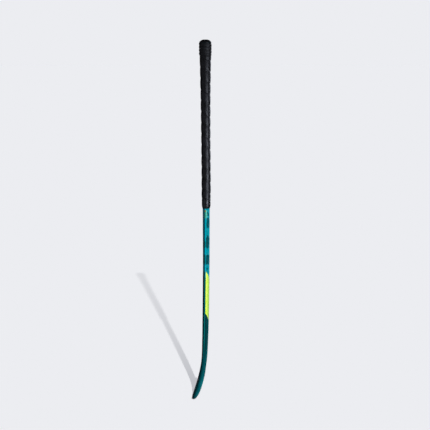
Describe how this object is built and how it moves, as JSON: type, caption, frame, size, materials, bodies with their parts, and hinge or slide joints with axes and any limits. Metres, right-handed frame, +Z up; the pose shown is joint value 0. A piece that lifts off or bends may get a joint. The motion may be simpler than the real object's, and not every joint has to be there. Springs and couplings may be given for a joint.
{
  "type": "field hockey stick",
  "caption": "Composite stick for field hockey: a wound grip on an oval handle, a gently bowed shaft, and a flat-faced head curled up into a J that strikes and stops the ball.",
  "frame": {"origin": "on the floor under the lowest point of the head, at the middle of the outline across the thickness and across the width of the head", "axes": "+Z up along the handle to the butt; -X is the side of the flat playing face, +X the rounded back; +Y points from the heel to the toe"},
  "size_m": [0.053, 0.1181, 0.952],
  "materials": {
    "lacquer": "printed teal to petrol pattern under clear lacquer",
    "laminate": "bare carbon and glass laminate",
    "foam": "light closed-cell foam",
    "core": "dense polyurethane",
    "aramid": "woven, soaked in resin",
    "plug": "matte",
    "cap": "matte black",
    "adhesive": "double-sided tape",
    "cushion": "soft foam underlay",
    "grip": "soft black tape with a fine grain",
    "binding": "smooth black tape",
    "lime_print": "bright print under clear lacquer",
    "green_print": "print under clear lacquer"
  },
  "bodies": {
    "root": {"shell": "lacquer", "tube_heel_side": "laminate", "tube_toe_side": "laminate", "foam_heel_side": "foam", "foam_toe_side": "foam", "head_core": "core", "head_sock": "aramid", "butt_plug": "plug", "butt_cap": "cap", "adhesive_tape": "adhesive", "cushion": "cushion", "grip_tape": "grip", "butt_collar": "grip", "finishing_tape": "binding", "panel_print": "lime_print", "patch_print": "green_print"}
  },
  "joints": []
}
